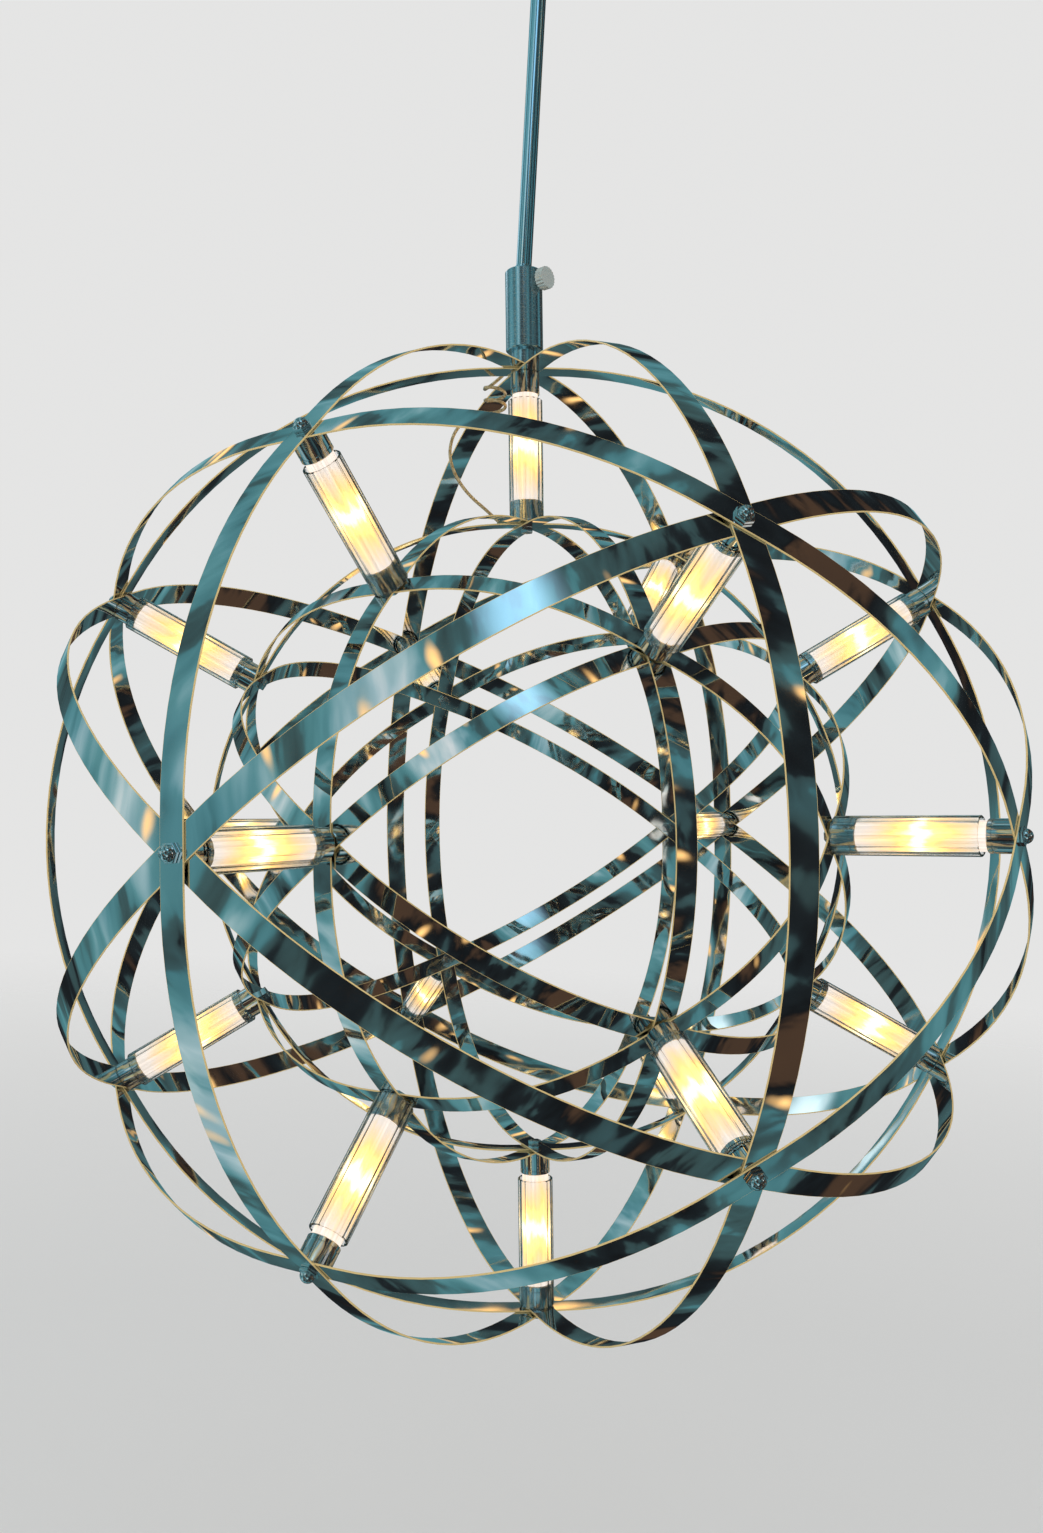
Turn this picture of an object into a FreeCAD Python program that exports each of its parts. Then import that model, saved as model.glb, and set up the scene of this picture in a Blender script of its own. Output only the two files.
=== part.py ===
import FreeCAD, Part
import math
import os
from FreeCAD import Placement, Rotation, Vector

# Orb chandelier: a large and a small sphere of bright flat bands, one inside the other, joined by eighteen
# glass-sleeved lamps that stand on the points where the bands cross. A turned collar on the topmost crossing
# clamps the sphere to a stem, and the stem hangs from a plate on the ceiling under a sliding canopy.
# The model's origin is on the ceiling, above the stem. The sphere has a frame of its own, with its origin at
# the common centre and +Z through the topmost lamp. All sizes are millimetres and degrees.

# ---- driving sizes: the two spheres of bands
outer_hoop_radius = 300.0
inner_hoop_radius = 200.0
outer_band_width = 15.0
inner_band_width = 12.0
band_thickness = 1.0
flat_margin = 1.0

# ---- driving sizes: a lamp between two crossings
cap_diameter = 18.5
cap_length = 14.0
sleeve_diameter = 22.0
sleeve_wall = 1.4
sleeve_length = 79.0
sleeve_end_gap = 0.5
board_width = 8.0
board_thickness = 1.6
board_pocket_depth = 2.0
board_clearance = 0.1
rod_across_flats = 12.5
rod_sides = 8
cap_nut_across_flats = 8.0
cap_nut_rim_height = 2.4
cap_nut_height = 6.0
cap_nut_crown_across_flats = 4.4
inner_nut_across_flats = 7.0
inner_nut_height = 3.2

# ---- driving sizes: collar, thumbscrew and stem
stem_diameter = 10.0
stem_bore = 8.0
stem_insertion = 28.0
stem_lean = 3.8
collar_diameter = 24.0
collar_body_length = 52.0
collar_foot_diameter = 17.0
collar_foot_height = 11.5
collar_floor_thickness = 9.0
collar_edge_chamfer = 0.8
stem_side_clearance = 0.45
nipple_diameter = 9.8
nipple_clearance = 0.1
nipple_socket_depth = 7.0
ferrule_diameter = 11.6
ferrule_height = 3.0
ferrule_gap = 0.5
thumbscrew_drop = 8.5
thumbscrew_azimuth = -42.0
thumbscrew_shank_diameter = 5.0
thumbscrew_clearance = 0.06
thumbscrew_tip_gap = 0.3
thumbscrew_neck_length = 2.5
thumbscrew_head_diameter = 14.0
thumbscrew_head_thickness = 5.5
thumbscrew_flutes = 20
thumbscrew_flute_depth = 0.6

# ---- driving sizes: ceiling fitting
centre_drop = 650.0
plate_canopy_gap = 5.0
plate_thickness = 2.0
plate_entry_diameter = 18.0
slot_edge_distance = 11.0
slot_width = 5.0
slot_length = 10.0
bridge_width = 20.0
bridge_span = 44.0
bridge_drop = 26.0
bridge_sheet = 2.0
bridge_foot_length = 12.0
rivet_diameter = 3.2
rivet_head_diameter = 6.0
rivet_head_height = 1.2
stem_nut_across_flats = 14.0
stem_nut_height = 5.0
stem_top_margin = 2.0
driver_length = 84.0
driver_width = 26.0
driver_height = 20.0
driver_offset = 13.0
driver_edge = 2.0
driver_lead_socket = 4.0
driver_lead_clearance = 0.1
terminal_length = 16.0
terminal_width = 14.0
terminal_height = 12.0
terminal_gap = 1.0
canopy_diameter = 130.0
canopy_depth = 37.0
canopy_wall = 1.0
canopy_edge_bevel = 4.0
canopy_ceiling_gap = 0.5
canopy_hole_clearance = 0.3
lock_ring_diameter = 20.0
lock_ring_height = 10.0
lock_ring_clearance = 0.08
lock_ring_chamfer = 1.0
lock_screw_diameter = 3.0
lock_screw_stand = 1.0
lock_screw_tip_gap = 0.3

# ---- driving sizes: the lead from the stem to the inner sphere
lead_diameter = 2.1
lead_sides = 8
lead_hole_clearance = 0.5
lead_exit_azimuth = 145.0
lead_exit_height = 6.5
lead_end_gap = 0.4
lead_turn_rise = 7.5
coil_radius = 6.6
coil_pitch = 8.0
coil_quarters = 7
coil_foot = Vector(-19.4, 0.0, 274.0)
coil_start_angle = 180.0
tag_length = 8.0
tag_width = 5.0
tag_height = 3.4
tag_slant = 2.6
tag_gap = 0.4

# ---- directions: the sphere's cube axes, turned so that a crossing of three bands points straight up
side_axis = Vector(2, -1, -1).normalize()
depth_axis = Vector(-1, -1, -1).normalize()
up_axis = Vector(0, 1, -1).normalize()
straight_up = Vector(0, 0, 1)


def to_sphere(cube_vector):
    """A unit direction of the cube, seen in the sphere's own frame."""
    turned = Vector(cube_vector.dot(side_axis), cube_vector.dot(depth_axis), cube_vector.dot(up_axis))
    return turned.normalize()


square_normals = [to_sphere(Vector(*v)) for v in ((1, 0, 0), (0, 1, 0), (0, 0, 1))]
corner_normals = [to_sphere(Vector(*v)) for v in ((1, 1, 1), (-1, 1, 1), (1, -1, 1), (1, 1, -1))]
hoop_normals = square_normals + corner_normals
pairs = ((0, 1), (1, 2), (2, 0))
double_crossings = [axis * sign for axis in square_normals for sign in (1, -1)]
triple_crossings = [
    (square_normals[a] * first + square_normals[b] * second).normalize()
    for a, b in pairs
    for first in (1, -1)
    for second in (1, -1)
]
crossings = double_crossings + triple_crossings


def hoops_at(crossing):
    """The numbers of the hoops that pass through a crossing, outermost band first."""
    return [i for i, normal in enumerate(hoop_normals) if abs(normal.dot(crossing)) < 1e-6]


def first_layer(crossing, outer):
    """Where only two bands cross, the outer sphere leaves the first layer free, so all lamps are alike."""
    return 1 if outer and len(hoops_at(crossing)) == 2 else 0


def outer_face_radius(crossing, outer):
    """Radius of the outside of the outermost band at a crossing."""
    radius = outer_hoop_radius if outer else inner_hoop_radius
    return radius - first_layer(crossing, outer) * band_thickness


def inner_face_radius(crossing, outer):
    """Radius of the inside of the innermost band at a crossing."""
    return outer_face_radius(crossing, outer) - len(hoops_at(crossing)) * band_thickness


def flat_half_length(hoop, crossing, width):
    """Half the straight stretch that a band needs, so that bands lie flat on each other where they cross."""
    reach = 0.0
    for other in hoops_at(crossing):
        if other != hoop:
            cosine = abs(hoop_normals[hoop].dot(hoop_normals[other]))
            reach = max(reach, width / 2 * (1 + cosine) / math.sqrt(1 - cosine**2))
    return reach + flat_margin


# ---- solids that several pieces are made of
def turned(profile):
    """A solid of revolution about Z from its half section, a list of (radius, height) corners."""
    corners = [Vector(r, 0, z) for r, z in profile]
    face = Part.Face(Part.makePolygon(corners + corners[:1]))
    return face.revolve(Vector(0, 0, 0), straight_up, 360)


def cylinder(diameter, bottom, top):
    return Part.makeCylinder(diameter / 2, top - bottom, Vector(0, 0, bottom))


def polygon(sides, across_flats, height):
    """A regular outline about Z, closed, at a height."""
    corner = across_flats / 2 / math.cos(math.pi / sides)
    turns = [2 * math.pi * i / sides for i in range(sides)]
    points = [Vector(corner * math.cos(turn), corner * math.sin(turn), height) for turn in turns]
    return Part.makePolygon(points + points[:1])


def hexagon(across_flats, bottom, top):
    return Part.Face(polygon(6, across_flats, bottom)).extrude(straight_up * (top - bottom))


def centred_box(length, width, bottom, top):
    return Part.makeBox(length, width, top - bottom, Vector(-length / 2, -width / 2, bottom))


def aimed(shape, direction):
    """A piece built along +Z from the sphere's centre, turned to stand on a crossing."""
    copy = shape.copy()
    copy.Placement = Placement(Vector(0, 0, 0), Rotation(straight_up, direction))
    return copy


def group(shapes):
    return Part.makeCompound(shapes)


# ---- bands
lamp_inner_end = inner_hoop_radius
lamp_outer_end = outer_hoop_radius - 3 * band_thickness


def hoop(number, outer):
    """One closed band: a flat on each crossing, at the height of its layer, and tangent arcs between them."""
    normal = hoop_normals[number]
    radius = outer_hoop_radius if outer else inner_hoop_radius
    width = outer_band_width if outer else inner_band_width
    own = [c for c in crossings if abs(normal.dot(c)) < 1e-6]
    start = own[0]
    own.sort(key=lambda c: math.atan2(c.dot(normal.cross(start)), c.dot(start)))
    stops = []
    for crossing in own:
        layer = first_layer(crossing, outer) + hoops_at(crossing).index(number)
        stops.append((crossing, radius - layer * band_thickness, flat_half_length(number, crossing, width)))
    bends = []
    for here, following in zip(stops, stops[1:] + stops[:1]):
        left, left_radius, left_flat = here
        right, right_radius, right_flat = following
        turn = left.getAngle(right)
        left_reach = (right_radius - left_radius * math.cos(turn)) / math.sin(turn)
        right_reach = (left_radius - right_radius * math.cos(turn)) / math.sin(turn)
        tangent = min(left_reach - left_flat, right_reach - right_flat)
        begin = left * left_radius + normal.cross(left) * (left_reach - tangent)
        end = right * right_radius - normal.cross(right) * (right_reach - tangent)
        bends.append((left, right, begin, end, tangent / math.tan(turn / 2)))

    def outline(inset):
        edges = []
        for (left, right, begin, end, bend), following in zip(bends, bends[1:] + bends[:1]):
            middle = begin - left * bend + (left + right).normalize() * (bend - inset)
            arc_end = end - right * inset
            edges.append(Part.Arc(begin - left * inset, middle, arc_end).toShape())
            edges.append(Part.LineSegment(arc_end, following[2] - right * inset).toShape())
        return Part.Wire(edges)

    face = Part.makeFace([outline(0), outline(band_thickness)], "Part::FaceMakerBullseye")
    face.translate(normal * (-width / 2))
    band = face.extrude(normal * width)
    if outer and number in hoops_at(straight_up):
        hole = cylinder(nipple_diameter + 2 * nipple_clearance, lamp_outer_end, radius + band_thickness)
        band = band.cut(hole)
    return band


# ---- lamps
def lamp_cap(seat, rim):
    """A turned end cap from its seat on the bands to its rim, with a pocket for the end of the board."""
    inward = 1 if rim > seat else -1
    cap = cylinder(cap_diameter, min(seat, rim), max(seat, rim))
    pocket = centred_box(
        board_width + 2 * board_clearance,
        board_thickness + 2 * board_clearance,
        min(rim, rim - inward * board_pocket_depth),
        max(rim, rim - inward * board_pocket_depth),
    )
    return cap.cut(pocket)


def inner_lamp_caps():
    cap = lamp_cap(lamp_inner_end, lamp_inner_end + cap_length)
    return group([aimed(cap, c) for c in crossings])


def outer_lamp_caps():
    cap = lamp_cap(lamp_outer_end, lamp_outer_end - cap_length)
    socket = cylinder(
        nipple_diameter + 2 * nipple_clearance,
        lamp_outer_end - nipple_socket_depth,
        lamp_outer_end + 1,
    )
    caps = []
    for crossing in crossings:
        on_top = crossing.z > 0.99
        caps.append(aimed(cap.cut(socket) if on_top else cap, crossing))
    return group(caps)


def led_boards():
    bottom = lamp_inner_end + cap_length - board_pocket_depth
    top = lamp_outer_end - cap_length + board_pocket_depth
    board = centred_box(board_width, board_thickness, bottom, top)
    return group([aimed(board, c) for c in crossings])


def light_rods():
    """A milky bar between the caps of each lamp, slotted from end to end for the board."""
    bottom = lamp_inner_end + cap_length
    top = lamp_outer_end - cap_length
    rod = Part.Face(polygon(rod_sides, rod_across_flats, bottom)).extrude(straight_up * (top - bottom))
    slot_width = board_width + 2 * board_clearance
    slot_thickness = board_thickness + 2 * board_clearance
    rod = rod.cut(centred_box(slot_width, slot_thickness, bottom, top))
    return group([aimed(rod, c) for c in crossings])


def sleeve_place(crossing):
    """How far a sleeve has slid from the inner end to the outer end of its lamp, from 0 to 1."""
    if abs(crossing.z) > 0.99:
        return 0.0 if crossing.z > 0 else 1.0
    return 0.0 if len(hoops_at(crossing)) == 2 else 0.5


def glass_sleeves():
    lowest = lamp_inner_end + sleeve_end_gap
    play = lamp_outer_end - sleeve_end_gap - sleeve_length - lowest
    sleeves = []
    for crossing in crossings:
        bottom = lowest + play * sleeve_place(crossing)
        outside = cylinder(sleeve_diameter, bottom, bottom + sleeve_length)
        inside = cylinder(sleeve_diameter - 2 * sleeve_wall, bottom, bottom + sleeve_length)
        sleeves.append(aimed(outside.cut(inside), crossing))
    return group(sleeves)


def outer_cap_nuts():
    """A crowned hexagon nut outside every crossing but the topmost, where the collar stands instead."""
    nuts = []
    for crossing in crossings:
        if crossing.z < 0.99:
            seat = outer_face_radius(crossing, True)
            outlines = [
                polygon(6, cap_nut_across_flats, seat),
                polygon(6, cap_nut_across_flats, seat + cap_nut_rim_height),
                polygon(6, cap_nut_crown_across_flats, seat + cap_nut_height),
            ]
            nuts.append(aimed(Part.makeLoft(outlines, True, True), crossing))
    return group(nuts)


def inner_nuts():
    nuts = []
    for crossing in crossings:
        seat = inner_face_radius(crossing, False)
        nuts.append(aimed(hexagon(inner_nut_across_flats, seat - inner_nut_height, seat), crossing))
    return group(nuts)


# ---- collar and thumbscrew, in the sphere's frame
collar_foot_seat = outer_hoop_radius
collar_body_bottom = collar_foot_seat + collar_foot_height
collar_top = collar_body_bottom + collar_body_length
collar_floor = collar_foot_seat + collar_floor_thickness
stem_foot_shift = stem_insertion * math.sin(math.radians(stem_lean))
stem_foot_drop = stem_insertion * math.cos(math.radians(stem_lean))
collar_bore = stem_diameter + 2 * (stem_foot_shift + stem_side_clearance)
thumbscrew_height = collar_top - thumbscrew_drop
lead_hole_diameter = lead_diameter + lead_hole_clearance
lead_exit_direction = Vector(
    math.cos(math.radians(lead_exit_azimuth)), math.sin(math.radians(lead_exit_azimuth)), 0
)
stem_foot_point = Vector(-stem_foot_shift, 0, collar_top - stem_foot_drop)
stem_way_down = Vector(-math.sin(math.radians(stem_lean)), 0, -math.cos(math.radians(stem_lean)))
lead_exit_point = lead_exit_direction * (collar_foot_diameter / 2) + straight_up * (
    collar_foot_seat + lead_exit_height
)
lead_hole_way = (lead_exit_direction - straight_up).normalize()


def across(shape, height):
    """A piece built along +Z, laid level along the thumbscrew's axis at a height."""
    azimuth = Vector(
        math.cos(math.radians(thumbscrew_azimuth)), math.sin(math.radians(thumbscrew_azimuth)), 0
    )
    copy = shape.copy()
    copy.Placement = Placement(Vector(0, 0, height), Rotation(straight_up, azimuth))
    return copy


def collar():
    foot = collar_foot_diameter / 2
    body = collar_diameter / 2
    bore = collar_bore / 2
    blank = turned(
        [
            (0, collar_foot_seat),
            (foot, collar_foot_seat),
            (foot, collar_body_bottom),
            (body - collar_edge_chamfer, collar_body_bottom),
            (body, collar_body_bottom + collar_edge_chamfer),
            (body, collar_top - collar_edge_chamfer),
            (body - collar_edge_chamfer, collar_top),
            (bore, collar_top),
            (bore, collar_floor),
            (0, collar_floor),
        ]
    )
    nipple = cylinder(nipple_diameter, lamp_outer_end - nipple_socket_depth + 1, collar_foot_seat)
    thread_diameter = thumbscrew_shank_diameter + 2 * thumbscrew_clearance
    thread = across(cylinder(thread_diameter, 0, body + 1), thumbscrew_height)
    lead_hole = Part.makeCylinder(
        lead_hole_diameter / 2,
        collar_foot_diameter,
        lead_exit_point - lead_hole_way * (collar_foot_diameter / 2),
        lead_hole_way,
    )
    return blank.fuse(nipple).removeSplitter().cut(thread).cut(lead_hole)


def thumbscrew():
    """Shank through the collar's wall and a fluted head that is turned by hand."""
    tip = stem_diameter / 2 + thumbscrew_tip_gap
    head = collar_diameter / 2 + thumbscrew_neck_length
    shank = cylinder(thumbscrew_shank_diameter, tip, head)
    rim = thumbscrew_head_diameter / 2
    points = []
    for i in range(2 * thumbscrew_flutes):
        angle = math.pi * i / thumbscrew_flutes
        reach = rim - (thumbscrew_flute_depth if i % 2 else 0)
        points.append(Vector(reach * math.cos(angle), reach * math.sin(angle), head))
    fluted = Part.Face(Part.makePolygon(points + points[:1])).extrude(straight_up * thumbscrew_head_thickness)
    return across(shank.fuse(fluted), thumbscrew_height)


# ---- lead: straight runs joined by tangent arcs
def bend_radius(before, corner, after):
    first = corner - before
    second = after - corner
    turn = first.getAngle(second)
    return 0.45 * min(first.Length, second.Length) / math.tan(turn / 2)


def lead_tube(name, points):
    """A round lead along a list of points, each corner rounded by the largest arc that its runs allow."""
    edges = []
    radii = []
    here = points[0]
    for before, corner, after in zip(points, points[1:], points[2:]):
        incoming = (corner - before).normalize()
        outgoing = (after - corner).normalize()
        turn = incoming.getAngle(outgoing)
        radius = bend_radius(before, corner, after)
        radii.append(radius)
        tangent = radius * math.tan(turn / 2)
        begin = corner - incoming * tangent
        end = corner + outgoing * tangent
        inward = (outgoing - incoming).normalize()
        middle = corner + inward * (radius / math.cos(turn / 2) - radius)
        edges.append(Part.LineSegment(here, begin).toShape())
        edges.append(Part.Arc(begin, middle, end).toShape())
        here = end
    edges.append(Part.LineSegment(here, points[-1]).toShape())
    tube = swept(edges, points[0], points[1] - points[0])
    length = sum(edge.Length for edge in edges)
    section = lead_sides * lead_diameter**2 / 4 * math.tan(math.pi / lead_sides)
    print(name, "bend radii", [round(r, 1) for r in radii], "length", round(length, 1))
    print(name, "volume over section times length", round(tube.Volume / (section * length), 4))
    return tube


def swept(edges, start, direction):
    path = Part.Wire(edges)
    section = polygon(lead_sides, lead_diameter, 0)
    section.Placement = Placement(start, Rotation(straight_up, direction))
    shell = Part.BRepOffsetAPI.MakePipeShell(path)
    shell.add(section)
    shell.build()
    shell.makeSolid()
    return shell.shape()


coil_turns = coil_quarters / 4
coil_top = coil_foot + Vector(0, 0, coil_pitch * coil_turns)


def coil_point(turns):
    """A point of the coil's centre line, counted in turns down from its top."""
    angle = math.radians(coil_start_angle + 360 * turns)
    around = Vector(math.cos(angle), math.sin(angle), 0) * coil_radius
    return coil_top + around - straight_up * (coil_pitch * turns)


def coil_direction(turns):
    angle = math.radians(coil_start_angle + 360 * turns)
    along = Vector(-math.sin(angle), math.cos(angle), 0) * (2 * math.pi * coil_radius)
    return (along - Vector(0, 0, coil_pitch)).normalize()


def tangent_arc(start, direction, end):
    """The arc that leaves its start along a direction and reaches its end."""
    chord = end - start
    across_chord = (direction - chord * (direction.dot(chord) / chord.dot(chord))).normalize()
    turn = direction.getAngle(chord)
    middle = (start + end) * 0.5 + across_chord * (chord.Length / 2 * math.tan(turn / 2))
    return Part.Arc(start, middle, end).toShape()


def biarc(start, start_direction, end, end_direction):
    """Two arcs with one tangent where they meet, from start to end along the two given directions."""
    chord = end - start
    both = start_direction + end_direction
    spread = 2 * (1 - start_direction.dot(end_direction))
    lean = chord.dot(both)
    reach = (-lean + math.sqrt(lean**2 + spread * chord.dot(chord))) / spread
    joint = (start + end + (start_direction - end_direction) * reach) * 0.5
    joint_direction = (end - end_direction * reach - start - start_direction * reach).normalize()
    return [tangent_arc(start, start_direction, joint), tangent_arc(joint, joint_direction, end)]


def feed_lead_coil():
    """The slack of the lead, wound in open loops beside the topmost lamp as one unbroken tube."""
    edges = []
    for i in range(coil_quarters):
        start, end = i / 4, (i + 1) / 4
        edges += biarc(coil_point(start), coil_direction(start), coil_point(end), coil_direction(end))
    lead_in = coil_point(0) - coil_direction(0) * lead_diameter
    lead_out = coil_point(coil_turns) + coil_direction(coil_turns) * lead_diameter
    edges.insert(0, Part.LineSegment(lead_in, coil_point(0)).toShape())
    edges.append(Part.LineSegment(coil_point(coil_turns), lead_out).toShape())
    stations = [i / 24 for i in range(6 * coil_quarters + 1)]
    apart = [(coil_point(a) - coil_point(b)).Length for a in stations for b in stations if b - a > 0.5]
    print("coil least gap to itself", round(min(apart) - lead_diameter, 2))
    return swept(edges, lead_in, coil_direction(0))


coil_start = coil_point(0) - coil_direction(0) * lead_diameter
coil_end = coil_point(coil_turns) + coil_direction(coil_turns) * lead_diameter

tag_seat = inner_hoop_radius - band_thickness
tag_end = -(sleeve_diameter / 2 + tag_gap)
tag_slant_low = Vector(tag_end - tag_length, 0, tag_seat + tag_height - tag_slant)
tag_slant_high = Vector(tag_end - tag_length + tag_slant, 0, tag_seat + tag_height)
tag_entry = (tag_slant_low + tag_slant_high) * 0.5
tag_way_in = Vector(1, 0, -1).normalize()

feed_route = [
    stem_foot_point + stem_way_down * lead_end_gap,
    stem_foot_point + stem_way_down * 12.0,
    lead_exit_point - lead_hole_way * 7.5,
    lead_exit_point + lead_hole_way * 7.5,
    Vector(-19.0, 15.5, 296.5),
    coil_start - coil_direction(0) * 9.5,
    coil_start,
]

drop_route = [
    coil_end,
    coil_end + coil_direction(coil_turns) * 9.5,
    Vector(-41.0, 2.5, 266.5),
    Vector(-47.5, -1.0, 256.0),
    Vector(-49.5, -2.0, 243.0),
    Vector(-45.5, -1.5, 230.0),
    Vector(-37.0, -1.0, 218.0),
    tag_entry - tag_way_in * 9.0,
    tag_entry,
]


def lead_tag():
    """The soldered tag that ends the lead, on the band beside the topmost lamp's inner cap."""
    side = [
        Vector(tag_end, 0, tag_seat),
        Vector(tag_slant_low.x, 0, tag_seat),
        tag_slant_low,
        tag_slant_high,
        Vector(tag_end, 0, tag_seat + tag_height),
    ]
    face = Part.Face(Part.makePolygon(side + side[:1]))
    face.translate(Vector(0, -tag_width / 2, 0))
    return face.extrude(Vector(0, tag_width, 0))


# ---- placing the sphere on its stem
pivot_height = -(centre_drop - collar_top)
lean_turn = Rotation(Vector(0, 1, 0), -stem_lean)
hang = Placement(Vector(0, 0, pivot_height) - lean_turn.multVec(Vector(0, 0, collar_top)), lean_turn)


def hung(shape):
    """A piece of the sphere, moved to where it hangs under the ceiling."""
    copy = shape.copy()
    copy.Placement = hang.multiply(copy.Placement)
    return copy


# ---- stem and ceiling fitting, in the model's own frame
bridge_top = -bridge_drop + bridge_sheet
stem_top = bridge_top + stem_nut_height + stem_top_margin
stem_bottom = pivot_height - stem_insertion
plate_bottom = -plate_thickness
canopy_bottom = -canopy_ceiling_gap - canopy_depth
plate_radius = canopy_diameter / 2 - canopy_wall - plate_canopy_gap
slot_spacing = 2 * (plate_radius - slot_edge_distance)
lead_turn_height = stem_top + lead_turn_rise


def tube(outside, inside, bottom, top):
    return cylinder(outside, bottom, top).cut(cylinder(inside, bottom, top))


def stem():
    return tube(stem_diameter, stem_bore, stem_bottom, stem_top)


def stem_ferrule():
    bottom = pivot_height + ferrule_gap
    return tube(ferrule_diameter, stem_diameter, bottom, bottom + ferrule_height)


def stem_nuts():
    """One nut above and one below the bridge."""
    nuts = []
    for bottom in (bridge_top, -bridge_drop - stem_nut_height):
        top = bottom + stem_nut_height
        nut = hexagon(stem_nut_across_flats, bottom, top)
        nuts.append(nut.cut(cylinder(stem_diameter, bottom, top)))
    return group(nuts)


def slot(centre_x):
    """A slotted hole through the ceiling plate, long way along X."""
    straight = slot_length - slot_width
    ends = []
    for side in (-1, 1):
        place = Vector(centre_x + side * straight / 2, 0, plate_bottom)
        ends.append(Part.makeCylinder(slot_width / 2, plate_thickness, place))
    middle = Part.makeBox(
        straight, slot_width, plate_thickness, Vector(centre_x - straight / 2, -slot_width / 2, plate_bottom)
    )
    return middle.fuse(ends).removeSplitter()


rivet_places = [Vector(side * (bridge_span + bridge_foot_length) / 2, 0, 0) for side in (-1, 1)]


def ceiling_plate():
    plate = cylinder(2 * plate_radius, plate_bottom, 0)
    plate = plate.cut(cylinder(plate_entry_diameter, plate_bottom, 0))
    for side in (-1, 1):
        plate = plate.cut(slot(side * slot_spacing / 2))
    for place in rivet_places:
        hole = cylinder(rivet_diameter, plate_bottom, 0)
        hole.translate(place)
        plate = plate.cut(hole)
    return plate


def stem_bridge():
    """A bent strap under the plate: two feet, two legs and a seat with the stem's hole."""
    half = bridge_span / 2
    foot = half + bridge_foot_length
    foot_bottom = plate_bottom - bridge_sheet
    side = [
        (-foot, plate_bottom),
        (-foot, foot_bottom),
        (-half, foot_bottom),
        (-half, -bridge_drop),
        (half, -bridge_drop),
        (half, foot_bottom),
        (foot, foot_bottom),
        (foot, plate_bottom),
        (half - bridge_sheet, plate_bottom),
        (half - bridge_sheet, bridge_top),
        (-half + bridge_sheet, bridge_top),
        (-half + bridge_sheet, plate_bottom),
    ]
    corners = [Vector(x, -bridge_width / 2, z) for x, z in side]
    strap = Part.Face(Part.makePolygon(corners + corners[:1])).extrude(Vector(0, bridge_width, 0))
    strap = strap.cut(cylinder(stem_diameter, -bridge_drop, bridge_top))
    for place in rivet_places:
        hole = cylinder(rivet_diameter, foot_bottom, plate_bottom)
        hole.translate(place)
        strap = strap.cut(hole)
    return strap


def bridge_rivets():
    foot_bottom = plate_bottom - bridge_sheet
    rivets = []
    for place in rivet_places:
        rivet = turned(
            [
                (0, foot_bottom - rivet_head_height),
                (rivet_head_diameter / 2, foot_bottom - rivet_head_height),
                (rivet_head_diameter / 2, foot_bottom),
                (rivet_diameter / 2, foot_bottom),
                (rivet_diameter / 2, 0),
                (0, 0),
            ]
        )
        rivet.translate(place)
        rivets.append(rivet)
    return group(rivets)


def led_driver():
    """The low-voltage supply, screwed up to the plate beside the bridge."""
    box = Part.makeBox(
        driver_length,
        driver_width,
        driver_height,
        Vector(-driver_length / 2, driver_offset, plate_bottom - driver_height),
    )
    upright = [edge for edge in box.Edges if abs(edge.tangentAt(0).z) > 0.99]
    box = box.makeChamfer(driver_edge, upright)
    socket = Part.makeCylinder(
        lead_diameter / 2 + driver_lead_clearance,
        driver_lead_socket,
        Vector(0, driver_offset, lead_turn_height),
        Vector(0, 1, 0),
    )
    return box.cut(socket)


def terminal_block():
    block = Part.makeBox(
        terminal_length,
        terminal_width,
        terminal_height,
        Vector(
            -terminal_length / 2,
            -bridge_width / 2 - terminal_gap - terminal_width,
            plate_bottom - terminal_height,
        ),
    )
    return block


def canopy():
    """A pressed cup with a bevelled lower edge, open to the ceiling, with a hole for the stem."""
    outside = canopy_diameter / 2
    inside = outside - canopy_wall
    top = -canopy_ceiling_gap
    hole = stem_diameter / 2 + canopy_hole_clearance
    bevel = canopy_edge_bevel
    floor = canopy_bottom + canopy_wall
    return turned(
        [
            (hole, canopy_bottom),
            (outside - bevel, canopy_bottom),
            (outside, canopy_bottom + bevel),
            (outside, top),
            (inside, top),
            (inside, floor + bevel),
            (inside - bevel, floor),
            (hole, floor),
        ]
    )


lock_ring_bottom = canopy_bottom - lock_ring_height
lock_ring_bore = stem_diameter + 2 * lock_ring_clearance
lock_screw_height = canopy_bottom - lock_ring_height / 2


def along_depth(shape):
    """A piece built along +Z, laid level to point backwards at the lock screw's height."""
    copy = shape.copy()
    copy.Placement = Placement(Vector(0, 0, lock_screw_height), Rotation(straight_up, Vector(0, 1, 0)))
    return copy


def lock_ring():
    """The ring under the canopy that holds it up on the stem."""
    outside = lock_ring_diameter / 2
    ring = turned(
        [
            (lock_ring_bore / 2, lock_ring_bottom),
            (outside - lock_ring_chamfer, lock_ring_bottom),
            (outside, lock_ring_bottom + lock_ring_chamfer),
            (outside, canopy_bottom),
            (lock_ring_bore / 2, canopy_bottom),
        ]
    )
    return ring.cut(along_depth(cylinder(lock_screw_diameter, 0, outside + 1)))


def lock_screw():
    tip = stem_diameter / 2 + lock_screw_tip_gap
    return along_depth(cylinder(lock_screw_diameter, tip, lock_ring_diameter / 2 + lock_screw_stand))


def stem_lead():
    """The lead from the supply, over the top of the stem and down its bore."""
    return lead_tube(
        "stem_lead",
        [
            Vector(0, driver_offset + driver_lead_socket, lead_turn_height),
            Vector(0, 0, lead_turn_height),
            Vector(0, 0, stem_bottom),
        ],
    )


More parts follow.
